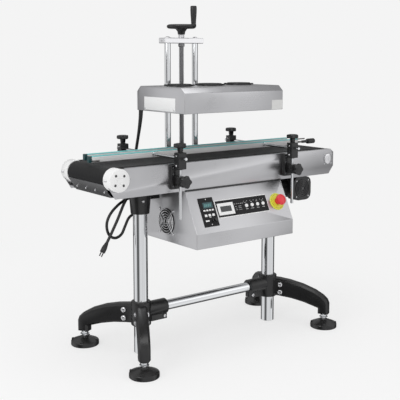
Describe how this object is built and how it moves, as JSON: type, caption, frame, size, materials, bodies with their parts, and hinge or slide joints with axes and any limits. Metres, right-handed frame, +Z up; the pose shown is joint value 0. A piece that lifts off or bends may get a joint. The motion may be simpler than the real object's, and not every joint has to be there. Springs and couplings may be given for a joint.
{
  "type": "induction cap sealer",
  "caption": "Floor-standing induction cap sealer: belt conveyor on a two-post stand, with a sealing head on a hand-wound column lift, side guide rails and a sloping control box.",
  "frame": {"origin": "on the floor under the middle of the machine", "axes": "+X along the conveyor from its tail end to its drive end, +Y away from the operator, +Z up"},
  "size_m": [1.023, 0.485, 1.2125],
  "materials": {
    "chrome": "polished plate",
    "black_cast": "satin black paint",
    "stainless": "brushed sheet",
    "belt_pvc": "matte",
    "white_plastic": "satin",
    "black_plastic": "satin",
    "aluminium": "satin",
    "dark_steel": "oiled",
    "red_plastic": "gloss",
    "black_rubber": "matte"
  },
  "bodies": {
    "frame": {"post_left": "chrome", "post_right": "chrome", "base_left": "black_cast", "base_right": "black_cast", "crossbar": "chrome", "head_bracket_left": "black_cast", "head_bracket_right": "black_cast", "side_plate_front": "stainless", "side_plate_back": "stainless", "slider_bed": "stainless", "tail_block_front": "white_plastic", "tail_block_back": "white_plastic", "conveyor_belt": "belt_pvc", "gearmotor": "black_plastic", "drive_chain": "dark_steel", "column_left": "chrome", "column_right": "chrome", "top_plate": "aluminium", "control_box": "stainless", "control_box_cover": "stainless", "supply_lead": "black_rubber", "supply_plug": "black_rubber", "head_cable": "black_rubber"},
    "sealing_head": {"head_shell": "stainless", "coil_plate": "black_plastic", "head_carriage": "aluminium"},
    "lift_wheel": {"lead_screw": "dark_steel", "handwheel": "black_plastic"},
    "wheel_grip": {"crank_grip": "black_plastic"},
    "fan_rotor_1": {"head_fan_1": "black_plastic"},
    "fan_rotor_2": {"head_fan_2": "black_plastic"},
    "fan_rotor_3": {"head_fan_3": "black_plastic"},
    "box_fan_rotor": {"box_fan": "black_plastic"},
    "drive_roll": {"drive_roller": "black_rubber"},
    "tail_roll": {"tail_roller": "black_rubber"},
    "motor_drive": {"motor_sprocket": "dark_steel"},
    "front_masts": {"guide_clamp_front_left": "black_plastic", "guide_clamp_front_right": "black_plastic"},
    "back_masts": {"guide_clamp_back_left": "black_plastic", "guide_clamp_back_right": "black_plastic"},
    "front_guide": {"front_rail": "aluminium"},
    "back_guide": {"back_rail": "aluminium"},
    "estop": {"estop_button": "red_plastic"},
    "mode_knob": {"power_knob": "black_plastic"},
    "levelling_foot_front_left": {"foot_front_left": "black_cast"},
    "rod_knob_front_left": {"top_knob_front_left": "black_plastic"},
    "mast_knob_front_left": {"side_knob_front_left": "black_plastic"},
    "levelling_foot_front_right": {"foot_front_right": "black_cast"},
    "rod_knob_front_right": {"top_knob_front_right": "black_plastic"},
    "mast_knob_front_right": {"side_knob_front_right": "black_plastic"},
    "levelling_foot_back_left": {"foot_back_left": "black_cast"},
    "rod_knob_back_left": {"top_knob_back_left": "black_plastic"},
    "mast_knob_back_left": {"side_knob_back_left": "black_plastic"},
    "levelling_foot_back_right": {"foot_back_right": "black_cast"},
    "rod_knob_back_right": {"top_knob_back_right": "black_plastic"},
    "mast_knob_back_right": {"side_knob_back_right": "black_plastic"},
    "button_1": {"panel_button_1": "white_plastic"},
    "button_2": {"panel_button_2": "white_plastic"},
    "button_3": {"panel_button_3": "white_plastic"},
    "button_4": {"panel_button_4": "white_plastic"}
  },
  "joints": [
    {"name": "screw_turn", "type": "hinge", "parent": "frame", "child": "lift_wheel", "pos_m": [0, 0.162, 1.1], "axis": [0, 0, 1], "range_deg": [-9910, 13510]},
    {"name": "head_lift", "type": "slide", "parent": "frame", "child": "sealing_head", "axis": [0, 0, 1], "range_m": [-0.11, 0.15], "deforming": ["head_cable"]},
    {"name": "grip_spin", "type": "hinge", "parent": "lift_wheel", "child": "wheel_grip", "pos_m": [0.03754, 0.13672, 1.18], "axis": [0, 0, 1], "continuous": true},
    {"name": "head_fan_spin_1", "type": "hinge", "parent": "sealing_head", "child": "fan_rotor_1", "pos_m": [-0.128, 0, 0.9115], "axis": [0, 0, 1], "continuous": true},
    {"name": "head_fan_spin_2", "type": "hinge", "parent": "sealing_head", "child": "fan_rotor_2", "pos_m": [0.007, 0, 0.9115], "axis": [0, 0, 1], "continuous": true},
    {"name": "head_fan_spin_3", "type": "hinge", "parent": "sealing_head", "child": "fan_rotor_3", "pos_m": [0.142, 0, 0.9115], "axis": [0, 0, 1], "continuous": true},
    {"name": "box_fan_spin", "type": "hinge", "parent": "frame", "child": "box_fan_rotor", "pos_m": [-0.1995, -0.0365, 0.4622], "axis": [1, 0, 0], "continuous": true},
    {"name": "belt_drive", "type": "hinge", "parent": "frame", "child": "drive_roll", "pos_m": [0.468, 0, 0.639], "axis": [0, 1, 0], "continuous": true},
    {"name": "tail_spin", "type": "hinge", "parent": "frame", "child": "tail_roll", "pos_m": [-0.474, 0, 0.642], "axis": [0, 1, 0], "continuous": true},
    {"name": "motor_spin", "type": "hinge", "parent": "frame", "child": "motor_drive", "pos_m": [0.384, 0, 0.526], "axis": [0, 1, 0], "continuous": true},
    {"name": "front_guide_height", "type": "slide", "parent": "frame", "child": "front_masts", "axis": [0, 0, 1], "range_m": [-0.008, 0.09]},
    {"name": "back_guide_height", "type": "slide", "parent": "frame", "child": "back_masts", "axis": [0, 0, 1], "range_m": [-0.008, 0.09]},
    {"name": "front_guide_reach", "type": "slide", "parent": "front_masts", "child": "front_guide", "axis": [0, 1, 0], "range_m": [-0.08, 0.02]},
    {"name": "back_guide_reach", "type": "slide", "parent": "back_masts", "child": "back_guide", "axis": [0, 1, 0], "range_m": [-0.02, 0.08]},
    {"name": "rod_knob_turn_front_left", "type": "hinge", "parent": "front_masts", "child": "rod_knob_front_left", "pos_m": [-0.252, -0.175, 0.7335], "axis": [0, 0, 1], "range_deg": [-180, 720]},
    {"name": "mast_knob_turn_front_left", "type": "hinge", "parent": "frame", "child": "mast_knob_front_left", "pos_m": [-0.252, -0.199, 0.622], "axis": [0, -1, 0], "range_deg": [-180, 720]},
    {"name": "foot_level_front_left", "type": "slide", "parent": "frame", "child": "levelling_foot_front_left", "axis": [0, 0, 1], "range_m": [-0.02, 0]},
    {"name": "rod_knob_turn_front_right", "type": "hinge", "parent": "front_masts", "child": "rod_knob_front_right", "pos_m": [0.252, -0.175, 0.7335], "axis": [0, 0, 1], "range_deg": [-180, 720]},
    {"name": "mast_knob_turn_front_right", "type": "hinge", "parent": "frame", "child": "mast_knob_front_right", "pos_m": [0.252, -0.199, 0.622], "axis": [0, -1, 0], "range_deg": [-180, 720]},
    {"name": "foot_level_front_right", "type": "slide", "parent": "frame", "child": "levelling_foot_front_right", "axis": [0, 0, 1], "range_m": [-0.02, 0]},
    {"name": "rod_knob_turn_back_left", "type": "hinge", "parent": "back_masts", "child": "rod_knob_back_left", "pos_m": [-0.252, 0.175, 0.7335], "axis": [0, 0, 1], "range_deg": [-180, 720]},
    {"name": "mast_knob_turn_back_left", "type": "hinge", "parent": "frame", "child": "mast_knob_back_left", "pos_m": [-0.252, 0.199, 0.622], "axis": [0, 1, 0], "range_deg": [-180, 720]},
    {"name": "foot_level_back_left", "type": "slide", "parent": "frame", "child": "levelling_foot_back_left", "axis": [0, 0, 1], "range_m": [-0.02, 0]},
    {"name": "rod_knob_turn_back_right", "type": "hinge", "parent": "back_masts", "child": "rod_knob_back_right", "pos_m": [0.252, 0.175, 0.7335], "axis": [0, 0, 1], "range_deg": [-180, 720]},
    {"name": "mast_knob_turn_back_right", "type": "hinge", "parent": "frame", "child": "mast_knob_back_right", "pos_m": [0.252, 0.199, 0.622], "axis": [0, 1, 0], "range_deg": [-180, 720]},
    {"name": "foot_level_back_right", "type": "slide", "parent": "frame", "child": "levelling_foot_back_right", "axis": [0, 0, 1], "range_m": [-0.02, 0]},
    {"name": "estop_push", "type": "slide", "parent": "frame", "child": "estop", "axis": [0, -0.8973, 0.4415], "range_m": [-0.004, 0], "stiffness_N_per_m": 800, "springref_m": 0.004},
    {"name": "button_1_press", "type": "slide", "parent": "frame", "child": "button_1", "axis": [0, -0.8973, 0.4415], "range_m": [-0.0015, 0], "stiffness_N_per_m": 400, "springref_m": 0.002},
    {"name": "button_2_press", "type": "slide", "parent": "frame", "child": "button_2", "axis": [0, -0.8973, 0.4415], "range_m": [-0.0015, 0], "stiffness_N_per_m": 400, "springref_m": 0.002},
    {"name": "button_3_press", "type": "slide", "parent": "frame", "child": "button_3", "axis": [0, -0.8973, 0.4415], "range_m": [-0.0015, 0], "stiffness_N_per_m": 400, "springref_m": 0.002},
    {"name": "button_4_press", "type": "slide", "parent": "frame", "child": "button_4", "axis": [0, -0.8973, 0.4415], "range_m": [-0.0015, 0], "stiffness_N_per_m": 400, "springref_m": 0.002},
    {"name": "mode_knob_turn", "type": "hinge", "parent": "frame", "child": "mode_knob", "pos_m": [-0.1235, -0.19204, 0.47839], "axis": [0, -0.8973, 0.4415], "range_deg": [-150, 150]}
  ],
  "couplings": [
    {"joint": "screw_turn", "follows": "head_lift", "rad_per_m": 1570.8},
    {"joint": "tail_spin", "follows": "belt_drive", "ratio": 1.0881},
    {"joint": "motor_spin", "follows": "belt_drive", "ratio": 1.3}
  ]
}
